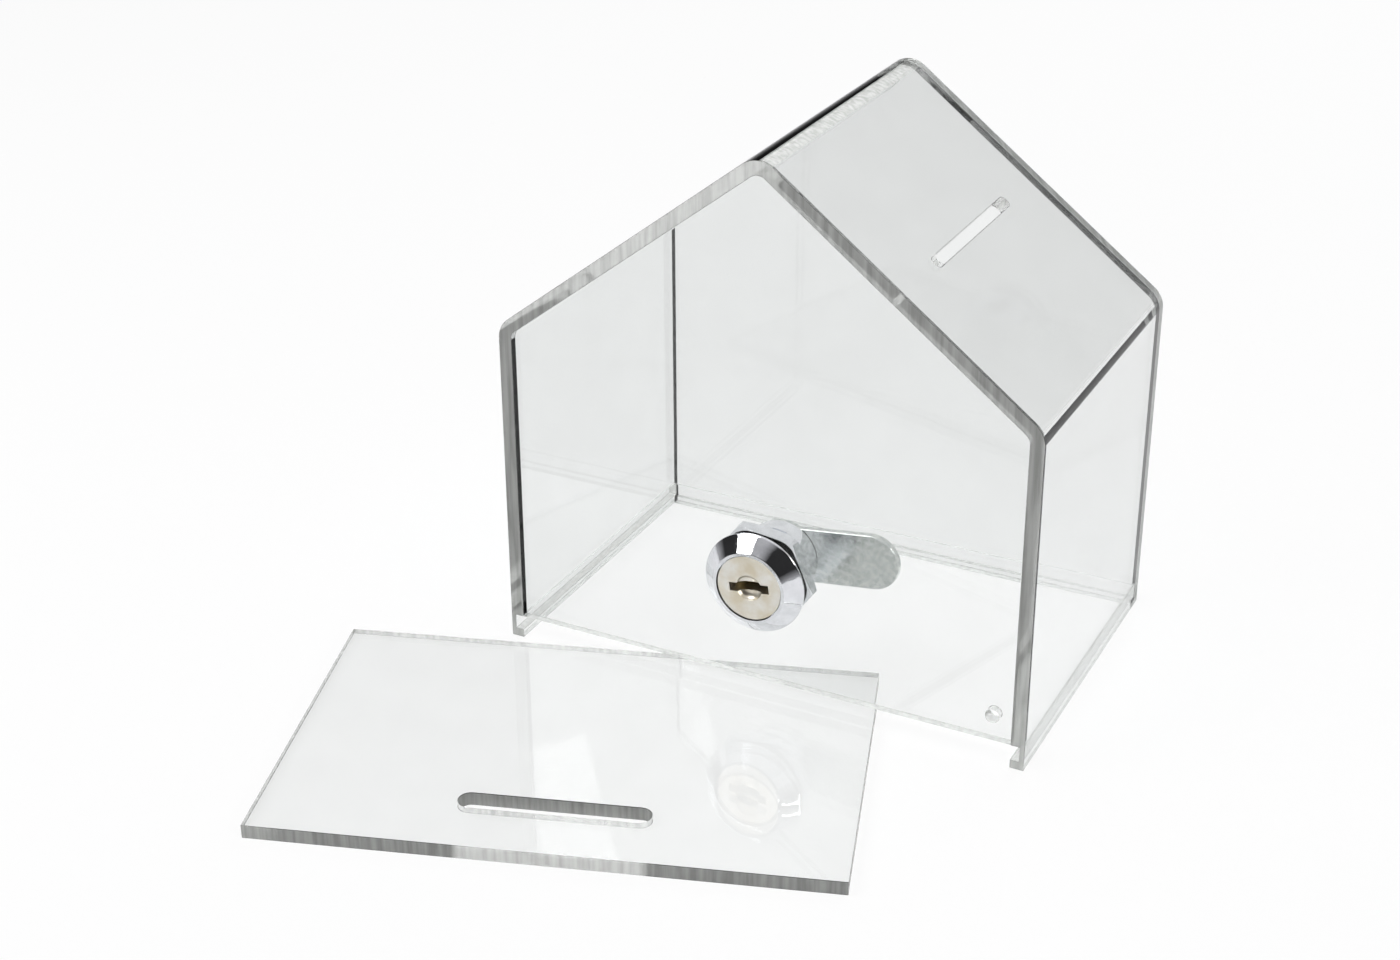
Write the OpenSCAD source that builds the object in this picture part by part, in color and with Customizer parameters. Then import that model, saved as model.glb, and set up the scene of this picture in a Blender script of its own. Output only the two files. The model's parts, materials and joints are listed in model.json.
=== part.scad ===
// Clear ballot box shaped like a house, with a cam lock and a slide-in base plate
// Millimetres; +X right along the front gable, +Y from front to back, +Z up
// The origin is on the surface, at the middle of the house's footprint

/* [House] */
// Width over the two side walls
house_w = 120; // [108:1:150]
// Depth of the bent sheet from front edge to back edge
house_d = 77; // [70:1:110]
// Height of the eave corner before it is rounded
eave_h = 75; // [70:1:95]
// Height of the ridge corner before it is rounded
ridge_h = 121.5; // [112:0.5:145]
// Thickness of the bent sheet and of the two gable panels
sheet_t = 3; // [2.5:0.25:4]
// Outer radius of the three heat bends
bend_r = 5.5; // [4.5:0.25:8]

/* [Base plate and grooves] */
// Thickness of the base plate
plate_t = 3; // [2.5:0.25:4]
// Height of the grooves' lower edge above the surface
groove_z = 2; // [1.5:0.25:4]
// Depth of the grooves in the side walls
groove_depth = 1.9; // [1.2:0.1:2]
// Depth of the groove in the back panel
back_groove_depth = 1; // [0.6:0.1:1.5]
// Running gap above and below the plate in its grooves
plate_gap = 0.15; // [0.1:0.05:0.4]
// Gap between the plate's edges and the bottoms of the grooves
plate_end_gap = 0.1; // [0.1:0.05:0.5]
// Gap between the plate's slot and the faces of the cam, on the nearer side
latch_slot_gap = 0.7; // [0.4:0.1:1.5]
// Extra width of that slot towards the plate's front edge
latch_slot_lead = 1.9; // [0:0.1:3]
// Length of that slot over its round ends
latch_slot_l = 38.7; // [34:0.1:60]
// Place of the plate's middle, right of the house's middle, while it lies outside
plate_x = -22.8; // [-40:0.1:-20]
// Place of the plate's middle, behind the house's middle
plate_y = -74; // [-110:0.5:-73]
// Turn of the plate on the surface, in degrees
plate_turn = 18.1; // [10:0.1:20]

/* [Slots and holes] */
// Length of the roof slot over its round ends
coin_slot_l = 38.8; // [25:0.1:50]
// Width of the roof slot
coin_slot_w = 2.6; // [2:0.1:4]
// Diameter of the small hole in the front panel
tether_d = 3; // [2:0.1:3.5]
// Distance of that hole's centre from the wall's inner face
tether_inset = 4.2; // [3.5:0.1:6]
// Distance of that hole's centre above the front panel's lower edge
tether_rise = 5.6; // [4:0.1:8]
// Height of the front panel's lower edge above the top of the grooves
front_panel_lift = 0.1; // [0.1:0.05:2]

/* [Lock housing and nut] */
// Diameter of the bezel where it meets the panel
bezel_d = 22.5; // [20.5:0.1:26]
// Diameter of the bezel's front ring
bezel_front_d = 16.4; // [16:0.1:18]
// Height of the bezel in front of the panel
bezel_h = 3.2; // [3:0.1:4]
// Height of the straight rim round the bezel
bezel_rim_h = 0.5; // [0.3:0.1:1]
// Outer diameter of the threaded barrel
barrel_d = 15.8; // [15.6:0.1:18]
// Distance across the barrel's two flats
barrel_flats = 14; // [13.8:0.1:15]
// Depth of the barrel behind the panel's front face
barrel_l = 13; // [12.6:0.1:16]
// Length of the stop ring behind the barrel
stop_ring_l = 1.85; // [1.2:0.05:3]
// Gap between the barrel and the hole in the panel
panel_hole_gap = 0.2; // [0.1:0.05:0.5]
// Gap between the barrel and the nut, where the threads mesh
thread_gap = 0.05; // [0.05:0.01:0.1]
// Distance across the nut's flats
nut_af = 21; // [20:0.1:24]
// Thickness of the nut
nut_h = 3.5; // [2.5:0.1:4.5]
// Turn of the nut from flats-level, in degrees
nut_turn = -6; // [-30:1:30]
// Turn of the whole lock in its hole, right side up, in degrees
lock_turn = 7.5; // [0:0.5:12]

/* [Lock plug] */
// Diameter of the plug's body
plug_d = 11; // [10.8:0.1:11.4]
// Running gap between the plug and the housing
plug_gap = 0.05; // [0.03:0.01:0.08]
// Diameter of the plug's face
plug_head_d = 14.4; // [13.6:0.1:14.8]
// Thickness of the plug's head
plug_head_h = 2.6; // [2:0.1:2.7]
// Gap round the plug's head
plug_head_gap = 0.2; // [0.1:0.05:0.3]
// Gap behind the plug's head
shoulder_gap = 0.05; // [0.03:0.01:0.1]
// Depth of the plug's face behind the bezel's ring
plug_recess = 0.3; // [0.1:0.05:0.5]
// Length of the keyway
key_l = 9; // [8:0.1:9.4]
// Width of the keyway
key_w = 1.95; // [1.5:0.05:2.3]
// Diameter of the bowl round the keyway's middle
bowl_d = 5.8; // [4:0.1:7]
// Depth of that bowl
bowl_depth = 1.2; // [0.8:0.1:1.8]
// Distance across the flats of the plug's square end
tail_w = 6.4; // [6:0.1:7]
// Diameter over the corners of the plug's square end
tail_d = 8; // [7.2:0.1:9]

/* [Wafers and springs] */
// Number of wafers
wafer_count = 5; // [3:1:5]
// Thickness of a wafer
wafer_t = 1; // [0.8:0.05:1.1]
// Distance from one wafer to the next
wafer_pitch = 1.9; // [1.8:0.05:2]
// Depth of the first wafer behind the panel's front face
wafer_first = 1.4; // [1.2:0.1:1.6]
// Width of a wafer across its travel
wafer_w = 5.6; // [5.2:0.1:5.8]
// Gap between a wafer and its slot in the plug
wafer_gap = 0.05; // [0.03:0.01:0.08]
// Travel of a wafer out into the housing's channels
wafer_travel = 0.6; // [0.4:0.05:0.7]
// Length of the window that the key's blade passes through
window_l = 6.4; // [5.6:0.1:7]
// Step between the key's cut depths
cut_step = 0.3; // [0.1:0.05:0.35]
// Outer diameter of a wafer spring
spring_d = 1.2; // [1:0.05:1.3]
// Diameter of the spring's wire
spring_wire = 0.24; // [0.18:0.02:0.26]
// Length of a wafer spring
spring_l = 2.6; // [2.3:0.1:2.7]
// Turns in a wafer spring
spring_turns = 4; // [3:1:5]

/* [Cam, washers and screw] */
// Distance of the cam's tip from the lock's axis
cam_reach = 26.4; // [24:0.1:28]
// Width of the cam
cam_w = 12.4; // [11:0.1:13.4]
// Diameter of the cam's round end at the plug
cam_hub_d = 14.9; // [14:0.1:16]
// Thickness of the cam
cam_t = 1.7; // [1.2:0.1:2]
// Gap between the cam's tip and the surface when it points down
cam_floor_gap = 2.1; // [1.2:0.1:4]
// Gap between the cam and the stop ring
cam_gap = 0.15; // [0.1:0.05:0.3]
// Gap round the square end in the washer and the cam
tail_gap = 0.05; // [0.03:0.01:0.1]
// Swing that the stop ring allows, in degrees
swing = 90; // [45:5:100]
// Angle that the stop washer's ear takes up, in degrees
ear_angle = 36; // [24:1:50]
// Gap at each end of the ear's swing, in degrees
ear_gap = 1; // [0.5:0.1:3]
// Thickness of the toothed washer
tooth_washer_t = 0.6; // [0.4:0.05:1]
// Outer diameter of the toothed washer
tooth_washer_d = 8.4; // [7.8:0.1:10]
// Number of teeth on that washer
tooth_count = 8; // [6:1:12]
// Diameter of the cam screw's shank
screw_d = 3.9; // [3:0.1:4]
// Length of the shank inside the plug
screw_grip = 4.4; // [3.4:0.1:5]
// Diameter of the screw's head
screw_head_d = 7.4; // [6:0.1:8]
// Height of the screw's head
screw_head_h = 2.2; // [1.6:0.1:3]

/* [Hidden] */
WAFER_NAMES = [for (i = [1:wafer_count]) str("wafer_", i)];
SPRING_NAMES = [for (i = [1:wafer_count]) str("wafer_spring_", i)];
$fn = 96;
// Flats along each heat bend
bend_steps = 12;
// A hair that a cut passes beyond the face it opens
eps = 0.01;
// A length beyond every piece, for cuts that go right through
far = 60;

ACRYLIC = [0.88, 0.91, 0.91, 0.4];
CHROME = [0.8, 0.81, 0.83];
NICKEL = [0.78, 0.75, 0.68];
ZINC = [0.72, 0.74, 0.75];
BRASS = [0.8, 0.68, 0.38];
STEEL = [0.6, 0.61, 0.63];

// The roof's slope, its length and the centres of the three bends
slope = atan((ridge_h - eave_h) / (house_w / 2));
slope_l = (house_w / 2) / cos(slope);
eave_centre = [house_w / 2 - bend_r, eave_h - bend_r * (1 - sin(slope)) / cos(slope)];
ridge_centre = [0, ridge_h - bend_r / cos(slope)];
front_y = -house_d / 2;
inner_w = house_w - 2 * sheet_t;

groove_h = plate_t + 2 * plate_gap;
front_gap = groove_z + groove_h + front_panel_lift;
plate_w = inner_w + 2 * (groove_depth - plate_end_gap);
plate_d = house_d - sheet_t + back_groove_depth - plate_end_gap;

// Depths along the lock's axis, from the panel's front face into the box
lock_z = cam_reach + cam_floor_gap;
head_front = -bezel_h + plug_recess;
head_back = head_front + plug_head_h;
wafer_slot_t = wafer_t + 2 * wafer_gap;
channel_r = plug_d / 2 + wafer_travel + 0.3;
cam_front = barrel_l + stop_ring_l + cam_gap;
cam_back = cam_front + cam_t;
tail_back = cam_back - 0.1;
latch_slot_w = cam_t + 2 * latch_slot_gap + latch_slot_lead;
latch_slot_y = (cam_front + cam_back - latch_slot_lead) / 2;
keyway_end = wafer_first + wafer_pitch * wafer_count + 0.3;

// The ears and springs sit beside the wafers' windows
window_w = key_w + 0.35;
ear_l = 1.4;
ear_y = 4.4;
ear_x = -0.2;
spring_y = (wafer_w / 2 + ear_y) / 2 + 0.1;
pocket_d = spring_d + 0.2;
CUTS = [-2, 1, 0, 2, -1];
screw_hole_d = screw_d + 0.1;
screw_tip = tail_back - screw_grip;

// A slot with round ends, its length along Y
module stadium(l, w) {
    for (side = [-1, 1])
        translate([0, side * (l - w) / 2]) circle(d = w);
    square([w, l - w], center = true);
}

// Points along a round bend about a centre, from one direction to another
function bend(centre, r, from, to) =
    [for (k = [0:bend_steps]) let (a = from + (to - from) * k / bend_steps) centre + r * [cos(a), sin(a)]];

// The gable's outline, drawn in from the outer face by inset, with its foot at a height
module gable_outline(inset, foot) {
    r = bend_r - inset;
    x = house_w / 2 - inset;
    polygon(concat(
        [[x, foot]],
        bend(eave_centre, r, 0, 90 - slope),
        bend(ridge_centre, r, 90 - slope, 90 + slope),
        bend([-eave_centre.x, eave_centre.y], r, 90 + slope, 180),
        [[-x, foot]]));
}

// Raises an outline as a slab that stands on edge, from one depth to another
module standing(y, depth) {
    translate([0, y + depth, 0]) rotate([90, 0, 0]) linear_extrude(depth) children();
}

// The middle of the right slope's outer face, with Z as its normal and Y along the ridge
module on_right_slope() {
    translate([house_w / 4, 0, (eave_h + ridge_h) / 2]) rotate([0, slope, 0]) children();
}

// The lock's own frame: X along the cam, Z into the box
module on_lock_axis(turn = lock_turn) {
    translate([0, front_y, lock_z]) rotate([-90, 0, 0]) rotate([0, 0, -turn]) children();
}

module house_shell() color(ACRYLIC) difference() {
    standing(front_y, house_d) difference() {
        gable_outline(0, 0);
        gable_outline(sheet_t, -eps);
    }
    for (side = [-1, 1])
        translate([side * (inner_w + groove_depth) / 2, -(sheet_t - back_groove_depth) / 2 - eps, groove_z + groove_h / 2])
            cube([groove_depth, house_d - sheet_t + back_groove_depth + 2 * eps, groove_h], center = true);
    on_right_slope() linear_extrude(3 * sheet_t, center = true) stadium(coin_slot_l, coin_slot_w);
}

module front_panel() color(ACRYLIC) difference() {
    standing(front_y, sheet_t) gable_outline(sheet_t, front_gap);
    on_lock_axis() cylinder(d = barrel_d + 2 * panel_hole_gap, h = far, center = true);
    translate([inner_w / 2 - tether_inset, front_y, front_gap + tether_rise])
        rotate([90, 0, 0]) cylinder(d = tether_d, h = far, center = true);
}

module back_panel() color(ACRYLIC) difference() {
    standing(-front_y - sheet_t, sheet_t) gable_outline(sheet_t, 0);
    translate([0, -front_y - sheet_t + back_groove_depth / 2 - eps, groove_z + groove_h / 2])
        cube([house_w, back_groove_depth + 2 * eps, groove_h], center = true);
}

module base_plate() color(ACRYLIC)
    translate([plate_x, plate_y, 0]) rotate([0, 0, plate_turn]) linear_extrude(plate_t) difference() {
        square([plate_w, plate_d], center = true);
        translate([0, latch_slot_y - plate_d / 2]) rotate(90) stadium(latch_slot_l, latch_slot_w);
    }

// A ring with a square corner at each end, from one depth to another
module tube(r_out, r_in, z0, z1) {
    translate([0, 0, z0]) rotate_extrude() translate([r_in, 0]) square([r_out - r_in, z1 - z0]);
}

// A wedge of a disc, from one angle to another, less than half a turn wide
module sector(r, from, to, h) {
    middle = (from + to) / 2;
    linear_extrude(h) polygon([[0, 0], for (a = [from, middle, to]) 2 * r * [cos(a), sin(a)]]);
}

module lock_housing() color(CHROME) on_lock_axis() {
    bore_r = plug_d / 2 + plug_gap;
    head_bore_r = plug_head_d / 2 + plug_head_gap;
    ear_start = 80 - ear_angle / 2 - ear_gap;
    difference() {
        rotate_extrude() polygon([
            [bore_r, head_back + shoulder_gap], [head_bore_r, head_back + shoulder_gap],
            [head_bore_r, -bezel_h], [bezel_front_d / 2 - 0.15, -bezel_h],
            [bezel_front_d / 2, -bezel_h + 0.15], [bezel_d / 2 - 0.2, -bezel_rim_h],
            [bezel_d / 2, -bezel_rim_h + 0.2], [bezel_d / 2, 0], [barrel_d / 2, 0],
            [barrel_d / 2, barrel_l + stop_ring_l], [bore_r, barrel_l + stop_ring_l]]);
        for (side = [-1, 1])
            translate([0, side * (barrel_flats + far) / 2, (barrel_l - stop_ring_l) / 2 + eps])
                cube([far, far, barrel_l - stop_ring_l], center = true);
        for (a = [0, 90])
            rotate(a) translate([-channel_r, -wafer_w / 2 - wafer_gap, wafer_first - wafer_gap])
                cube([2 * channel_r, wafer_w + 2 * wafer_gap, far]);
        translate([0, 0, barrel_l])
            sector(barrel_d, ear_start, ear_start + swing + ear_angle + 2 * ear_gap, far);
    }
}

module hex_nut() color(CHROME) on_lock_axis(nut_turn) {
    corner = nut_af / cos(30) / 2;
    chamfer = corner - nut_af / 2;
    difference() {
        intersection() {
            translate([0, 0, sheet_t]) cylinder(r = corner, h = nut_h, $fn = 6);
            translate([0, 0, sheet_t]) rotate_extrude() polygon([
                [0, 0], [corner - chamfer, 0], [corner, chamfer * 0.5],
                [corner, nut_h - chamfer * 0.5], [corner - chamfer, nut_h], [0, nut_h]]);
        }
        cylinder(d = barrel_d + 2 * thread_gap, h = far, center = true);
    }
}

// The square end that turns the cam, grown by a gap where it is a hole
module square_end(gap) {
    intersection() {
        square(tail_w + 2 * gap, center = true);
        circle(d = tail_d + 2 * gap);
    }
}

// Depth of a wafer's front face
function wafer_z(i) = wafer_first + wafer_gap + (i - 1) * wafer_pitch;
// The side on which a wafer has its ear: neighbours take turns
function ear_side(i) = i % 2 == 1 ? 1 : -1;

module lock_plug() color(NICKEL) on_lock_axis() difference() {
    union() {
        translate([0, 0, head_front]) cylinder(d = plug_head_d, h = plug_head_h);
        translate([0, 0, head_front + 0.5]) cylinder(d = plug_d, h = barrel_l - head_front - 0.5);
        translate([0, 0, barrel_l - 1]) linear_extrude(tail_back - barrel_l + 1) square_end(0);
    }
    translate([-key_l / 2, -key_w / 2, head_front - eps]) cube([key_l, key_w, keyway_end - head_front]);
    translate([0, 0, head_front - eps]) rotate_extrude() polygon([
        [0, 0], [bowl_d / 2, 0], [bowl_d / 2 - 0.25, bowl_depth * 0.45],
        [bowl_d / 2 - 0.9, bowl_depth * 0.85], [bowl_d / 2 - 1.5, bowl_depth], [0, bowl_depth]]);
    for (i = [1:wafer_count]) {
        translate([-plug_d / 2 - 1, -wafer_w / 2 - wafer_gap, wafer_z(i) - wafer_gap])
            cube([plug_d + 2, wafer_w + 2 * wafer_gap, wafer_slot_t]);
        mirror([0, ear_side(i) == 1 ? 0 : 1, 0]) {
            translate([ear_x - 0.2, 0, wafer_z(i) - wafer_gap])
                cube([ear_l + wafer_travel + 0.4, ear_y + wafer_gap, wafer_slot_t]);
            translate([ear_x - spring_l, spring_y, wafer_z(i) + wafer_t / 2])
                rotate([0, 90, 0]) cylinder(d = pocket_d, h = spring_l + 0.1);
        }
    }
    translate([0, 0, screw_tip - 0.3]) cylinder(d = screw_hole_d, h = far);
}

module wafer(i) color(BRASS) on_lock_axis() mirror([0, ear_side(i) == 1 ? 0 : 1, 0])
    translate([0, 0, wafer_z(i)]) linear_extrude(wafer_t) difference() {
        union() {
            intersection() {
                circle(d = plug_d - 2 * wafer_gap);
                square([plug_d, wafer_w], center = true);
            }
            translate([ear_x, 0]) square([ear_l, ear_y]);
        }
        translate([CUTS[i - 1] * cut_step, 0]) square([window_l, window_w], center = true);
    }

// One unbroken coil of round wire along +X, its ends closed by flat caps
module coil(l, d, wire, turns) {
    sides = 6;
    steps = 8 * turns;
    mean_r = (d - wire) / 2;
    function centre(k) = [wire / 2 + (l - wire) * k / steps, mean_r * cos(360 * k / 8), mean_r * sin(360 * k / 8)];
    function ring_point(k, s) =
        let (out = [0, cos(360 * k / 8), sin(360 * k / 8)])
        centre(k) + wire / 2 * (cos(360 * s / sides) * out + sin(360 * s / sides) * [1, 0, 0]);
    points = [for (k = [0:steps]) for (s = [0:sides - 1]) ring_point(k, s)];
    skin = [for (k = [0:steps - 1]) for (s = [0:sides - 1])
        let (a = k * sides + s, b = k * sides + (s + 1) % sides)
        each [[a, b, b + sides], [a, b + sides, a + sides]]];
    start_cap = [for (s = [1:sides - 2]) [0, s + 1, s]];
    last = steps * sides;
    end_cap = [for (s = [1:sides - 2]) [last, last + s, last + s + 1]];
    polyhedron(points, concat(skin, start_cap, end_cap));
}

module wafer_spring(i) color(STEEL) on_lock_axis() mirror([0, ear_side(i) == 1 ? 0 : 1, 0])
    translate([ear_x - spring_l, spring_y, wafer_z(i) + wafer_t / 2])
        coil(spring_l, spring_d, spring_wire, spring_turns);

module stop_washer() color(ZINC) on_lock_axis() translate([0, 0, barrel_l + plug_gap]) {
    thickness = cam_front - barrel_l - plug_gap;
    difference() {
        union() {
            cylinder(d = plug_d - 0.2, h = thickness);
            intersection() {
                cylinder(d = barrel_d, h = stop_ring_l - plug_gap);
                sector(barrel_d, 80 - ear_angle / 2, 80 + ear_angle / 2, stop_ring_l);
            }
        }
        translate([0, 0, -1]) linear_extrude(far) square_end(tail_gap);
    }
}

module latch_cam() color(ZINC) on_lock_axis() translate([0, 0, cam_front]) linear_extrude(cam_t) difference() {
    tip_x = cam_reach - cam_w / 2;
    union() {
        circle(d = cam_hub_d);
        translate([0, -cam_w / 2]) square([tip_x, cam_w]);
        translate([tip_x, 0]) circle(d = cam_w);
    }
    square_end(tail_gap);
}

module tooth_washer() color(STEEL) on_lock_axis() translate([0, 0, cam_back]) linear_extrude(tooth_washer_t)
    difference() {
        circle(d = tooth_washer_d);
        circle(d = screw_d + 0.3);
        for (i = [0:tooth_count - 1])
            rotate(i * 360 / tooth_count) translate([tooth_washer_d / 2 - 0.6, -0.4]) square([2, 0.8]);
    }

module cam_screw() color(STEEL) on_lock_axis() {
    head_z = cam_back + tooth_washer_t;
    difference() {
        union() {
            translate([0, 0, screw_tip]) cylinder(d = screw_d, h = head_z - screw_tip + eps);
            translate([0, 0, head_z]) rotate_extrude() polygon([
                [0, 0], [screw_head_d / 2, 0], [screw_head_d / 2, screw_head_h * 0.45],
                [screw_head_d / 2 - 0.35, screw_head_h * 0.75], [screw_head_d / 2 - 1.1, screw_head_h], [0, screw_head_h]]);
        }
        for (a = [0, 90])
            rotate(a + 20) translate([0, 0, head_z + screw_head_h]) cube([4, 0.8, 2.6], center = true);
    }
}

house_shell();
front_panel();
back_panel();
base_plate();
lock_housing();
hex_nut();
lock_plug();
for (i = [1:wafer_count]) wafer(i);
for (i = [1:wafer_count]) wafer_spring(i);
stop_washer();
latch_cam();
tooth_washer();
cam_screw();
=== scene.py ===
"""Clear acrylic ballot box shaped like a house: finishes, edges, thread, light and camera."""
import json
import logging
import math
from dataclasses import dataclass, field
from enum import Enum

import bmesh
import bpy
from mathutils import Matrix, Vector

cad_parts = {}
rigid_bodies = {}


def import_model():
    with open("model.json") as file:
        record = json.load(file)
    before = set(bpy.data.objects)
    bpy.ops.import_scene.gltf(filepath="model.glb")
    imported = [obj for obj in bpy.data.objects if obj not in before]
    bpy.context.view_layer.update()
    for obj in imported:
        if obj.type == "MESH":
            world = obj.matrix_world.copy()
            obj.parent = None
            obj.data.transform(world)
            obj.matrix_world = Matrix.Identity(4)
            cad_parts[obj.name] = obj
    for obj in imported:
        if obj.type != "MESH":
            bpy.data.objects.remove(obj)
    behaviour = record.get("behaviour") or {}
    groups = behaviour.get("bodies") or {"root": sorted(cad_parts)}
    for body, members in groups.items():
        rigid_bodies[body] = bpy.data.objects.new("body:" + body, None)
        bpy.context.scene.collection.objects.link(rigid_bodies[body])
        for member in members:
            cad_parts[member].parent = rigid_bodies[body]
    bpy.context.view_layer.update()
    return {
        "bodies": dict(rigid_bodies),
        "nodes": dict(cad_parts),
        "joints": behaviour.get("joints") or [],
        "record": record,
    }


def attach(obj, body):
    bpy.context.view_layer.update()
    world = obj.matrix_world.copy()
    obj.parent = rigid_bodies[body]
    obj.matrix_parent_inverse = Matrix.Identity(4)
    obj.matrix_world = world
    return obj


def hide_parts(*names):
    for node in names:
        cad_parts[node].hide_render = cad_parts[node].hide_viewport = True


LOG = logging.getLogger("ballot_box")
MM = 0.001

ACRYLIC_IOR = 1.49
RAMP_ENDS = (0.35, 0.65)
WHITE = (1.0, 1.0, 1.0, 1.0)

MERGE_DISTANCE = 1e-6
COPLANAR_ANGLE = math.radians(0.2)
EASE_SEGMENTS = 2
EASE_ANGLE = math.radians(40.0)
FULL_WEIGHT = 100

TRANSMISSION_BOUNCES = 24
TRANSPARENT_BOUNCES = 24
ALL_BOUNCES = 32


class Slot(Enum):
    """The record's material slots that the pieces take their finish from."""

    ACRYLIC = "acrylic"
    CHROME = "chrome"
    NICKEL = "nickel"
    ZINC = "zinc"
    BRASS = "brass"
    STEEL = "steel"


class NodeSketch:
    """Adds and links the shader nodes of a material or a world with few words."""

    def __init__(self, owner: bpy.types.ID, output_kind: str = "ShaderNodeOutputMaterial") -> None:
        """Clears the owner's tree and adds its output.

        Args:
            owner: The material or world.
            output_kind: The output's type name.
        """
        owner.use_nodes = True
        self.tree = owner.node_tree
        self.tree.nodes.clear()
        self.output = self.add(output_kind)

    def add(self, kind: str, **settings: object) -> bpy.types.Node:
        """Adds one node.

        Args:
            kind: The node's type name.
            settings: Node properties, or input values where a key names no property.

        Returns:
            The new node.
        """
        node = self.tree.nodes.new(kind)
        for key, value in settings.items():
            if hasattr(node, key):
                setattr(node, key, value)
            else:
                node.inputs[key.replace("_", " ")].default_value = value
        return node

    def link(self, source: bpy.types.NodeSocket, target: bpy.types.NodeSocket) -> None:
        """Links two sockets.

        Args:
            source: The output.
            target: The input.
        """
        self.tree.links.new(source, target)

    def noise(self, scale: float, detail: float) -> bpy.types.Node:
        """Adds noise on Object coordinates.

        Args:
            scale: Noise scale per metre.
            detail: Noise detail.

        Returns:
            The noise node.
        """
        place = self.add("ShaderNodeTexCoord")
        node = self.add("ShaderNodeTexNoise", Scale=scale, Detail=detail)
        self.link(place.outputs["Object"], node.inputs["Vector"])
        return node

    def ramp(self, noise: bpy.types.Node, low: tuple, high: tuple) -> bpy.types.NodeSocket:
        """Adds a two-colour ramp over the middle of a noise's range.

        Args:
            noise: The noise that drives it.
            low: Colour at the lower end.
            high: Colour at the upper end.

        Returns:
            The ramp's colour output.
        """
        node = self.add("ShaderNodeValToRGB")
        for stop, place, colour in zip(node.color_ramp.elements, RAMP_ENDS, (low, high)):
            stop.position = place
            stop.color = (*colour, 1.0)
        self.link(noise.outputs["Fac"], node.inputs["Fac"])
        return node.outputs["Color"]

    def bump(self, noise: bpy.types.Node, shader: bpy.types.Node, strength: float, depth: float) -> None:
        """Bumps a shader by a noise.

        Args:
            noise: The noise that gives the height.
            shader: The shader whose normal it turns.
            strength: The bump's strength.
            depth: The bump's depth in metres.
        """
        node = self.add("ShaderNodeBump", Strength=strength, Distance=depth)
        self.link(noise.outputs["Fac"], node.inputs["Height"])
        self.link(node.outputs["Normal"], shader.inputs["Normal"])

    def clear_body(self, roughness: float) -> bpy.types.Node:
        """Adds a fully transmissive acrylic shader.

        Args:
            roughness: Its roughness.

        Returns:
            The shader node.
        """
        return self.add(
            "ShaderNodeBsdfPrincipled", Roughness=roughness, IOR=ACRYLIC_IOR, Transmission_Weight=1.0)

    def blend(self, first: bpy.types.Node, second: bpy.types.Node) -> bpy.types.NodeSocket:
        """Mixes two shaders into the output.

        Args:
            first: The shader at share 0.
            second: The shader at share 1.

        Returns:
            The input that takes the second shader's share.
        """
        mix = self.add("ShaderNodeMixShader")
        self.link(first.outputs[0], mix.inputs[1])
        self.link(second.outputs[0], mix.inputs[2])
        self.link(mix.outputs["Shader"], self.output.inputs["Surface"])
        return mix.inputs[0]

    def seen_directly(self) -> bpy.types.NodeSocket:
        """Adds a mask of the rays from the camera and those that passed through clear sheet.

        Returns:
            The output, 1 for such rays and 0 for the others.
        """
        path = self.add("ShaderNodeLightPath")
        either = self.add("ShaderNodeMath", operation="MAXIMUM")
        self.link(path.outputs["Is Camera Ray"], either.inputs[0])
        self.link(path.outputs["Is Transmission Ray"], either.inputs[1])
        return either.outputs[0]


@dataclass(frozen=True)
class MetalFinish:
    """A plated or bare metal with fine mottling."""

    name: str
    low: tuple
    high: tuple
    roughness: tuple
    mottle_scale: float
    bump: float = 0.02
    bump_depth: float = 0.1 * MM
    mottle_detail: float = 6.0
    grain_ratio: float = 6.0
    grain_detail: float = 3.0

    def build(self) -> bpy.types.Material:
        """Builds the material.

        Returns:
            The finished material.
        """
        material = bpy.data.materials.new(self.name)
        sketch = NodeSketch(material)
        shader = sketch.add("ShaderNodeBsdfPrincipled", Metallic=1.0)
        mottle = sketch.noise(self.mottle_scale, self.mottle_detail)
        smooth, rough = ((value,) * 3 for value in self.roughness)
        sketch.link(sketch.ramp(mottle, self.low, self.high), shader.inputs["Base Color"])
        sketch.link(sketch.ramp(mottle, smooth, rough), shader.inputs["Roughness"])
        grain = sketch.noise(self.mottle_scale * self.grain_ratio, self.grain_detail)
        sketch.bump(grain, shader, self.bump, self.bump_depth)
        sketch.link(shader.outputs["BSDF"], sketch.output.inputs["Surface"])
        return material


@dataclass(frozen=True)
class AcrylicFinish:
    """Clear acrylic with a faint surface ripple, which lets most light through to the floor."""

    name: str = "clear_acrylic"
    tint: tuple = (0.9, 0.908, 0.905)
    streak: float = 0.985
    shadow_tint: tuple = (0.93, 0.94, 0.94)
    ripple_scale: float = 90.0
    ripple_detail: float = 2.0
    bump: float = 0.02
    bump_depth: float = 0.2 * MM

    def build(self) -> bpy.types.Material:
        """Builds the material.

        Returns:
            The finished material.
        """
        material = bpy.data.materials.new(self.name)
        sketch = NodeSketch(material)
        glass = sketch.clear_body(roughness=0.0)
        ripple = sketch.noise(self.ripple_scale, self.ripple_detail)
        streak = tuple(self.streak * channel for channel in self.tint)
        sketch.link(sketch.ramp(ripple, streak, self.tint), glass.inputs["Base Color"])
        sketch.bump(ripple, glass, self.bump, self.bump_depth)
        clear = sketch.add("ShaderNodeBsdfTransparent", Color=(*self.shadow_tint, 1.0))
        path = sketch.add("ShaderNodeLightPath")
        sketch.link(path.outputs["Is Shadow Ray"], sketch.blend(glass, clear))
        return material


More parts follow.
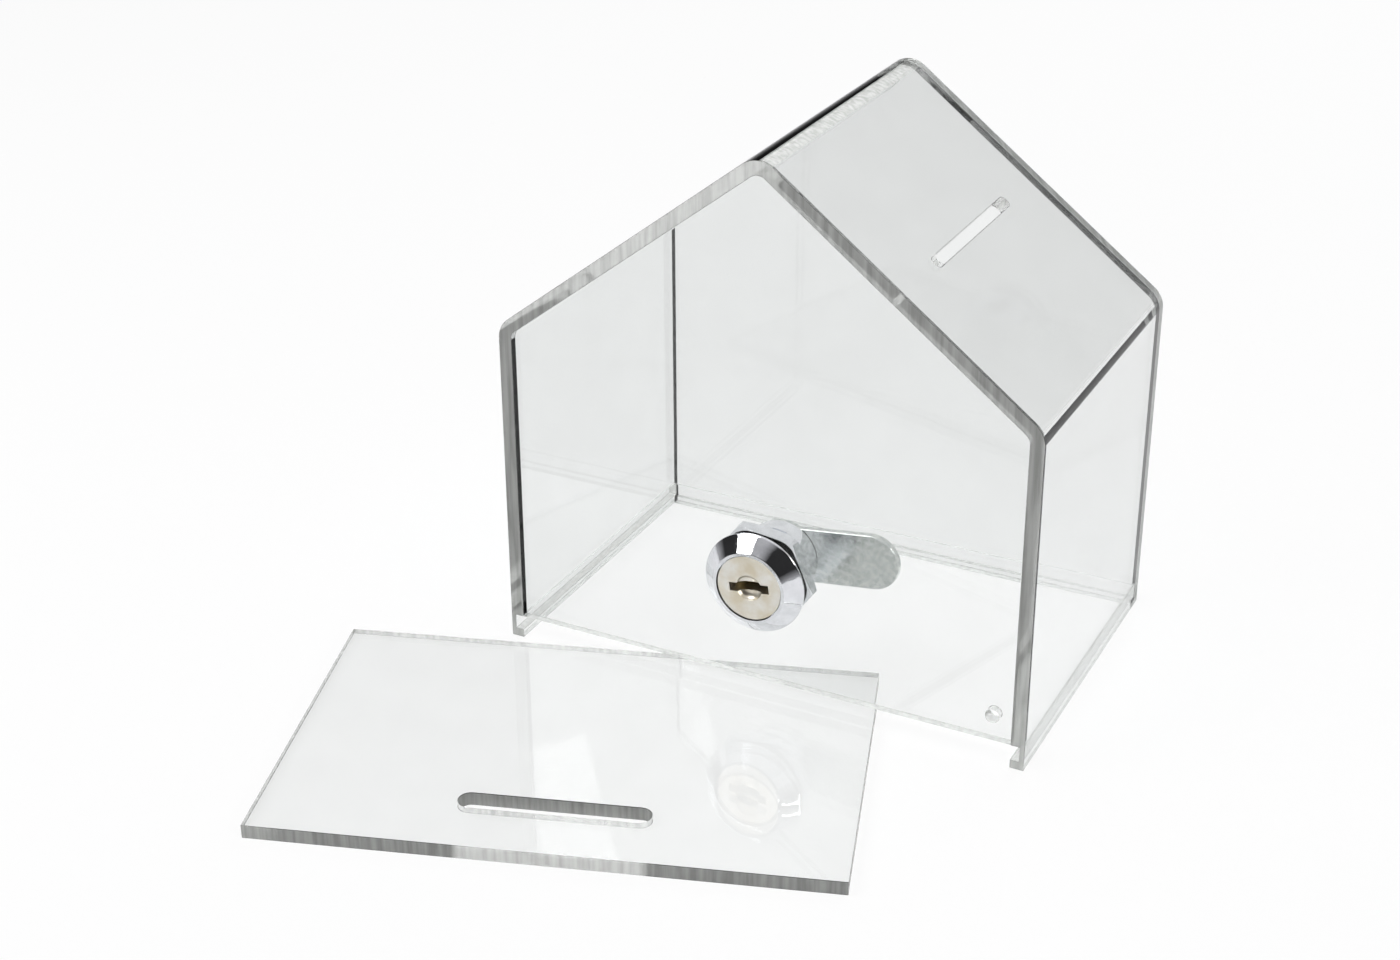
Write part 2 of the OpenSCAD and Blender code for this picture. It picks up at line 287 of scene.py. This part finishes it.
@dataclass(frozen=True)
class CutEdgeFinish:
    """The sheet's cut edges: half polished, so they scatter some light and look grey."""

    name: str = "cut_acrylic_edge"
    grey: tuple = (0.5, 0.51, 0.49)
    pale: tuple = (0.74, 0.75, 0.73)
    scatter: float = 0.5
    roughness: float = 0.12
    saw_scale: tuple = (900.0, 900.0, 60.0)
    saw_detail: float = 3.0

    def build(self) -> bpy.types.Material:
        """Builds the material.

        Returns:
            The finished material.
        """
        material = bpy.data.materials.new(self.name)
        sketch = NodeSketch(material)
        glass = sketch.clear_body(self.roughness)
        matte = sketch.add("ShaderNodeBsdfDiffuse")
        place = sketch.add("ShaderNodeTexCoord")
        stretch = sketch.add("ShaderNodeMapping", Scale=self.saw_scale)
        marks = sketch.add("ShaderNodeTexNoise", Scale=1.0, Detail=self.saw_detail)
        sketch.link(place.outputs["Object"], stretch.inputs["Vector"])
        sketch.link(stretch.outputs["Vector"], marks.inputs["Vector"])
        sketch.link(sketch.ramp(marks, self.grey, self.pale), matte.inputs["Color"])
        sketch.blend(glass, matte).default_value = self.scatter
        return material


METALS = {
    Slot.CHROME: MetalFinish(
        "bright_chrome", low=(0.74, 0.75, 0.78), high=(0.84, 0.85, 0.88),
        roughness=(0.03, 0.07), mottle_scale=400.0),
    Slot.NICKEL: MetalFinish(
        "stained_nickel", low=(0.7, 0.63, 0.5), high=(0.84, 0.82, 0.77),
        roughness=(0.3, 0.42), mottle_scale=260.0, bump=0.1),
    Slot.ZINC: MetalFinish(
        "mottled_zinc", low=(0.52, 0.55, 0.54), high=(0.7, 0.72, 0.7),
        roughness=(0.16, 0.26), mottle_scale=900.0, bump=0.05),
    Slot.BRASS: MetalFinish(
        "stamped_brass", low=(0.7, 0.56, 0.27), high=(0.82, 0.7, 0.4),
        roughness=(0.22, 0.34), mottle_scale=500.0),
    Slot.STEEL: MetalFinish(
        "bright_steel", low=(0.5, 0.51, 0.53), high=(0.68, 0.69, 0.7),
        roughness=(0.18, 0.3), mottle_scale=500.0),
}


def build_finishes() -> dict[Slot, bpy.types.Material]:
    """Builds one material for each slot.

    Returns:
        The materials by slot.
    """
    finishes = {Slot.ACRYLIC: AcrylicFinish().build()}
    for slot, metal in METALS.items():
        finishes[slot] = metal.build()
    return finishes


def add_object(name: str, data: bpy.types.ID) -> bpy.types.Object:
    """Adds an object to the scene.

    Args:
        name: The object's name.
        data: Its mesh, lamp or camera.

    Returns:
        The new object.
    """
    made = bpy.data.objects.new(name, data)
    bpy.context.scene.collection.objects.link(made)
    return made


def apply_modifiers(piece: bpy.types.Object) -> bpy.types.Mesh:
    """Turns a piece's modifiers into a plain mesh.

    Args:
        piece: The piece, which carries the plain mesh afterwards.

    Returns:
        The plain mesh.
    """
    bpy.context.view_layer.update()
    final = piece.evaluated_get(bpy.context.evaluated_depsgraph_get())
    mesh = bpy.data.meshes.new_from_object(final)
    piece.modifiers.clear()
    piece.data = mesh
    return mesh


@dataclass
class Dresser:
    """Makes finished pieces from the CAD nodes: merged, with eased edges and smooth rounds."""

    frame: dict
    finishes: dict[Slot, bpy.types.Material]
    body_of: dict[str, str] = field(default_factory=dict)

    def __post_init__(self) -> None:
        """Notes which body each node belongs to."""
        for body, members in self.frame["record"]["behaviour"]["bodies"].items():
            for name in members:
                self.body_of[name] = body

    def coat(self, mesh: bpy.types.Mesh, finish: Slot) -> None:
        """Gives a mesh one finish alone.

        Args:
            mesh: The mesh.
            finish: Its finish.
        """
        mesh.materials.clear()
        mesh.materials.append(self.finishes[finish])

    def paint(self, node: str, finish: Slot) -> None:
        """Gives a CAD node that keeps its own mesh its finish.

        Args:
            node: The CAD node's name.
            finish: Its finish.
        """
        self.coat(self.frame["nodes"][node].data, finish)
        LOG.info("painted %s", node)

    def eased(self, node: str, finish: Slot, ease: float) -> bpy.types.Object:
        """Stands a copy with eased edges in for a CAD node.

        Args:
            node: The CAD node's name.
            finish: Its finish.
            ease: Width of the eased edge in metres.

        Returns:
            The finished piece.
        """
        mesh = self.frame["nodes"][node].data.copy()
        grid = bmesh.new()
        grid.from_mesh(mesh)
        bmesh.ops.remove_doubles(grid, verts=grid.verts, dist=MERGE_DISTANCE)
        bmesh.ops.dissolve_limit(
            grid, angle_limit=COPLANAR_ANGLE, verts=grid.verts, edges=grid.edges)
        grid.to_mesh(mesh)
        grid.free()
        mesh.shade_smooth()
        piece = add_object(f"{node}_eased", mesh)
        bevel = piece.modifiers.new("ease", "BEVEL")
        bevel.width = ease
        bevel.segments = EASE_SEGMENTS
        bevel.limit_method = "ANGLE"
        bevel.angle_limit = EASE_ANGLE
        bevel.use_clamp_overlap = True
        level = piece.modifiers.new("level", "WEIGHTED_NORMAL")
        level.mode = "FACE_AREA"
        level.weight = FULL_WEIGHT
        self.coat(apply_modifiers(piece), finish)
        return self.place(piece, self.body_of[node], finish, node)

    def place(self, piece: bpy.types.Object, body: str, finish: Slot,
              node: str | None = None) -> bpy.types.Object:
        """Attaches a piece to its body and, where it has one, hides the node it stands for.

        Args:
            piece: The piece.
            body: The body it rides on.
            finish: Not used.
            node: The CAD node that it replaces.

        Returns:
            The piece.
        """
        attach(piece, body)
        if node:
            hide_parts(node)
        LOG.info("made %s", piece.name)
        return piece


@dataclass
class AcrylicHouse:
    """The bent sheet, the two gable panels and the base plate."""

    dresser: Dresser
    nodes: tuple = ("house_shell", "front_panel", "back_panel", "base_plate")
    edge: float = 0.12 * MM
    square: float = 0.9
    cut_index: int = 1

    def build(self) -> None:
        """Makes the four clear pieces and gives their cut edges their own finish."""
        cut = CutEdgeFinish().build()
        for node in self.nodes:
            piece = self.dresser.eased(node, Slot.ACRYLIC, self.edge)
            piece.data.materials.append(cut)
            for face in piece.data.polygons:
                if self.is_cut(node, face.normal):
                    face.material_index = self.cut_index

    def is_cut(self, node: str, normal: Vector) -> bool:
        """Tells whether a face lies on a sheet's cut edge.

        Args:
            node: The piece's node.
            normal: The face's normal.

        Returns:
            True on a cut edge that shows.
        """
        if node == "house_shell":
            return abs(normal.y) > self.square or normal.z < -self.square
        if node == "base_plate":
            return abs(normal.z) < 1.0 - self.square
        return normal.z < -self.square


@dataclass
class CamLock:
    """The cam lock: casting, nut, plug, cam and the screw thread on the barrel."""

    dresser: Dresser
    front_y: float = -38.5 * MM
    axis_z: float = 28.5 * MM
    turn: float = math.radians(7.5)
    thread_start: float = 6.7 * MM
    thread_end: float = 11.0 * MM
    thread_pitch: float = 1.0 * MM
    crest_r: float = 8.0 * MM
    flat_half: float = 6.97 * MM
    helix_steps: int = 64
    ridge_sides: int = 4
    wafers: int = 5
    eased_pieces: tuple = (
        ("lock_housing", Slot.CHROME, 0.12 * MM),
        ("hex_nut", Slot.CHROME, 0.15 * MM),
        ("latch_cam", Slot.ZINC, 0.3 * MM),
        ("lock_plug", Slot.NICKEL, 0.06 * MM),
        ("stop_washer", Slot.ZINC, 0.08 * MM),
        ("tooth_washer", Slot.STEEL, 0.08 * MM),
        ("cam_screw", Slot.STEEL, 0.08 * MM),
    )

    def build(self) -> None:
        """Makes every piece of the lock."""
        for node, finish, ease in self.eased_pieces:
            self.dresser.eased(node, finish, ease)
        for number in range(1, self.wafers + 1):
            self.dresser.paint(f"wafer_{number}", Slot.BRASS)
            self.dresser.paint(f"wafer_spring_{number}", Slot.STEEL)
        self.dresser.place(self.thread(), "root", Slot.CHROME)

    def axis_frame(self) -> Matrix:
        """Gives the lock's own frame: X along the cam, Z into the box.

        Returns:
            The matrix from that frame to the model's.
        """
        origin = Matrix.Translation((0.0, self.front_y, self.axis_z))
        lay = Matrix.Rotation(-math.pi / 2, 4, "X")
        return origin @ lay @ Matrix.Rotation(-self.turn, 4, "Z")

    def thread_nodes(self) -> bpy.types.NodeTree:
        """Builds the node group that sweeps a ridge along a helix.

        Returns:
            The group, with the helix's radius, length and turns as inputs.
        """
        tree = bpy.data.node_groups.new("barrel_thread", "GeometryNodeTree")
        tree.interface.new_socket("Geometry", in_out="OUTPUT", socket_type="NodeSocketGeometry")
        for name in ("Helix radius", "Length", "Turns"):
            tree.interface.new_socket(name, in_out="INPUT", socket_type="NodeSocketFloat")
        inputs = tree.nodes.new("NodeGroupInput")
        output = tree.nodes.new("NodeGroupOutput")
        spiral = tree.nodes.new("GeometryNodeCurveSpiral")
        spiral.inputs["Resolution"].default_value = self.helix_steps
        profile = tree.nodes.new("GeometryNodeCurvePrimitiveCircle")
        profile.inputs["Resolution"].default_value = self.ridge_sides
        profile.inputs["Radius"].default_value = 0.5 * self.thread_pitch
        sweep = tree.nodes.new("GeometryNodeCurveToMesh")
        sweep.inputs["Fill Caps"].default_value = True
        realize = tree.nodes.new("GeometryNodeRealizeInstances")
        coat = tree.nodes.new("GeometryNodeSetMaterial")
        coat.inputs["Material"].default_value = self.dresser.finishes[Slot.CHROME]
        joins = (
            (inputs, "Helix radius", spiral, "Start Radius"),
            (inputs, "Helix radius", spiral, "End Radius"),
            (inputs, "Length", spiral, "Height"),
            (inputs, "Turns", spiral, "Rotations"),
            (spiral, "Curve", sweep, "Curve"),
            (profile, "Curve", sweep, "Profile Curve"),
            (sweep, "Mesh", realize, "Geometry"),
            (realize, "Geometry", coat, "Geometry"),
            (coat, "Geometry", output, "Geometry"),
        )
        for source, outlet, target, inlet in joins:
            tree.links.new(source.outputs[outlet], target.inputs[inlet])
        return tree

    def thread(self) -> bpy.types.Object:
        """Makes the barrel's thread as a swept helix pressed flat at the two flats.

        Returns:
            The thread as a plain mesh.
        """
        tree = self.thread_nodes()
        carrier = add_object("barrel_thread", bpy.data.meshes.new("thread_seed"))
        modifier = carrier.modifiers.new("thread", "NODES")
        modifier.node_group = tree
        length = self.thread_end - self.thread_start
        values = {
            "Helix radius": self.crest_r - 0.5 * self.thread_pitch,
            "Length": length,
            "Turns": length / self.thread_pitch,
        }
        for item in tree.interface.items_tree:
            if item.in_out == "INPUT":
                modifier[item.identifier] = float(values[item.name])
        mesh = apply_modifiers(carrier)
        for vertex in mesh.vertices:
            vertex.co.y = max(-self.flat_half, min(self.flat_half, vertex.co.y))
            vertex.co.z += self.thread_start
        mesh.transform(self.axis_frame())
        grid = bmesh.new()
        grid.from_mesh(mesh)
        bmesh.ops.recalc_face_normals(grid, faces=grid.faces)
        grid.to_mesh(mesh)
        grid.free()
        return carrier


@dataclass(frozen=True)
class Softbox:
    """A square lamp aimed at the object, which clear and polished faces may leave out."""

    name: str
    place: tuple
    size: float
    power: float
    shows: bool = True
    target: tuple = (0.0, 0.0, 0.05)

    def build(self) -> None:
        """Adds the lamp."""
        data = bpy.data.lights.new(self.name, "AREA")
        data.size = self.size
        data.energy = self.power
        lamp = add_object(self.name, data)
        lamp.location = self.place
        lamp.visible_glossy = self.shows
        lamp.visible_transmission = self.shows
        ray = Vector(self.target) - Vector(self.place)
        lamp.rotation_euler = ray.to_track_quat("-Z", "Y").to_euler()


@dataclass
class Studio:
    """Pale floor, soft lamps, white surroundings and the photograph's camera."""

    eye: tuple = (172.9 * MM, -401.9 * MM, 255.8 * MM)
    azimuth: float = math.radians(28.18)
    pitch: float = math.radians(25.28)
    roll: float = math.radians(-0.8)
    sensor: float = 36.0
    focal: float = 57.14
    shift: tuple = (0.0286, -0.0429)
    near: float = 0.01
    softboxes: tuple = (
        Softbox("key_softbox", place=(-0.5, -0.45, 0.75), size=0.5, power=5.0),
        Softbox("right_strip", place=(0.75, -0.3, 0.5), size=0.3, power=2.5),
        Softbox("back_softbox", place=(0.1, 0.8, 0.7), size=0.5, power=3.0, shows=False),
    )
    nadir: float = 0.8
    bands: tuple = ((0.46, 0.7), (0.52, 0.3), (0.6, 0.03), (0.84, 0.03), (0.91, 0.7), (1.0, 0.9))
    coolness: float = 1.02
    floor_half: float = 3.0
    floor_z: float = -0.0001
    floor_grey: tuple = (0.86, 0.86, 0.86, 1.0)
    floor_glow: float = 0.88

    def build(self) -> None:
        """Makes the camera, world, lamps and floor."""
        self.camera()
        self.world()
        for softbox in self.softboxes:
            softbox.build()
        self.floor()

    def camera(self) -> None:
        """Sets the photograph's camera."""
        ahead = Vector((-math.sin(self.azimuth) * math.cos(self.pitch),
                        math.cos(self.azimuth) * math.cos(self.pitch),
                        -math.sin(self.pitch)))
        level = Vector((math.cos(self.azimuth), math.sin(self.azimuth), 0.0))
        up = level.cross(ahead)
        right = math.cos(self.roll) * level + math.sin(self.roll) * up
        up = right.cross(ahead)
        data = bpy.data.cameras.new("photo_camera")
        data.sensor_width = self.sensor
        data.lens = self.focal
        data.shift_x, data.shift_y = self.shift
        data.clip_start = self.near
        camera = add_object("photo_camera", data)
        turn = Matrix((right, up, -ahead)).transposed().to_4x4()
        camera.matrix_world = Matrix.Translation(self.eye) @ turn
        bpy.context.scene.camera = camera

    def world(self) -> None:
        """Makes a world that is white to the camera and grey bands in reflections."""
        world = bpy.data.worlds.new("studio")
        bpy.context.scene.world = world
        sketch = NodeSketch(world, "ShaderNodeOutputWorld")
        place = sketch.add("ShaderNodeTexCoord")
        split = sketch.add("ShaderNodeSeparateXYZ")
        sketch.link(place.outputs["Generated"], split.inputs[0])
        height = sketch.add("ShaderNodeMath", operation="MULTIPLY_ADD")
        height.inputs[1].default_value = 0.5
        height.inputs[2].default_value = 0.5
        sketch.link(split.outputs["Z"], height.inputs[0])
        ramp = sketch.add("ShaderNodeValToRGB")
        stops = ramp.color_ramp.elements
        stops.remove(stops[0])
        stops[0].position = 0.0
        stops[0].color = (self.nadir, self.nadir, self.nadir, 1.0)
        for position, level in self.bands:
            stops.new(position).color = (level, level, level * self.coolness, 1.0)
        sketch.link(height.outputs[0], ramp.inputs["Fac"])
        room = sketch.add("ShaderNodeBackground")
        sketch.link(ramp.outputs["Color"], room.inputs["Color"])
        white = sketch.add("ShaderNodeBackground", Color=WHITE)
        sketch.link(sketch.seen_directly(), sketch.blend(room, white))

    def floor(self) -> None:
        """Adds the pale floor, nearly white to the camera apart from the soft shadow."""
        half = self.floor_half
        corners = ((-half, -half), (half, -half), (half, half), (-half, half))
        mesh = bpy.data.meshes.new("floor")
        mesh.from_pydata([(x, y, self.floor_z) for x, y in corners], [], [(0, 1, 2, 3)])
        floor = add_object("floor", mesh)
        material = bpy.data.materials.new("pale_floor")
        sketch = NodeSketch(material)
        matte = sketch.add("ShaderNodeBsdfDiffuse", Color=self.floor_grey)
        glow = sketch.add("ShaderNodeEmission", Color=WHITE, Strength=1.0)
        share = sketch.add("ShaderNodeMath", operation="MULTIPLY")
        share.inputs[1].default_value = self.floor_glow
        sketch.link(sketch.seen_directly(), share.inputs[0])
        sketch.link(share.outputs[0], sketch.blend(matte, glow))
        mesh.materials.append(material)


def main() -> None:
    """Builds the sub-assemblies in order."""
    logging.basicConfig(level=logging.INFO)
    scene = bpy.context.scene
    scene.view_settings.view_transform = "Standard"
    scene.cycles.transmission_bounces = TRANSMISSION_BOUNCES
    scene.cycles.max_bounces = ALL_BOUNCES
    scene.cycles.transparent_max_bounces = TRANSPARENT_BOUNCES
    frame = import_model()
    dresser = Dresser(frame, build_finishes())
    AcrylicHouse(dresser).build()
    CamLock(dresser).build()
    Studio().build()


if __name__ == "__main__":
    main()
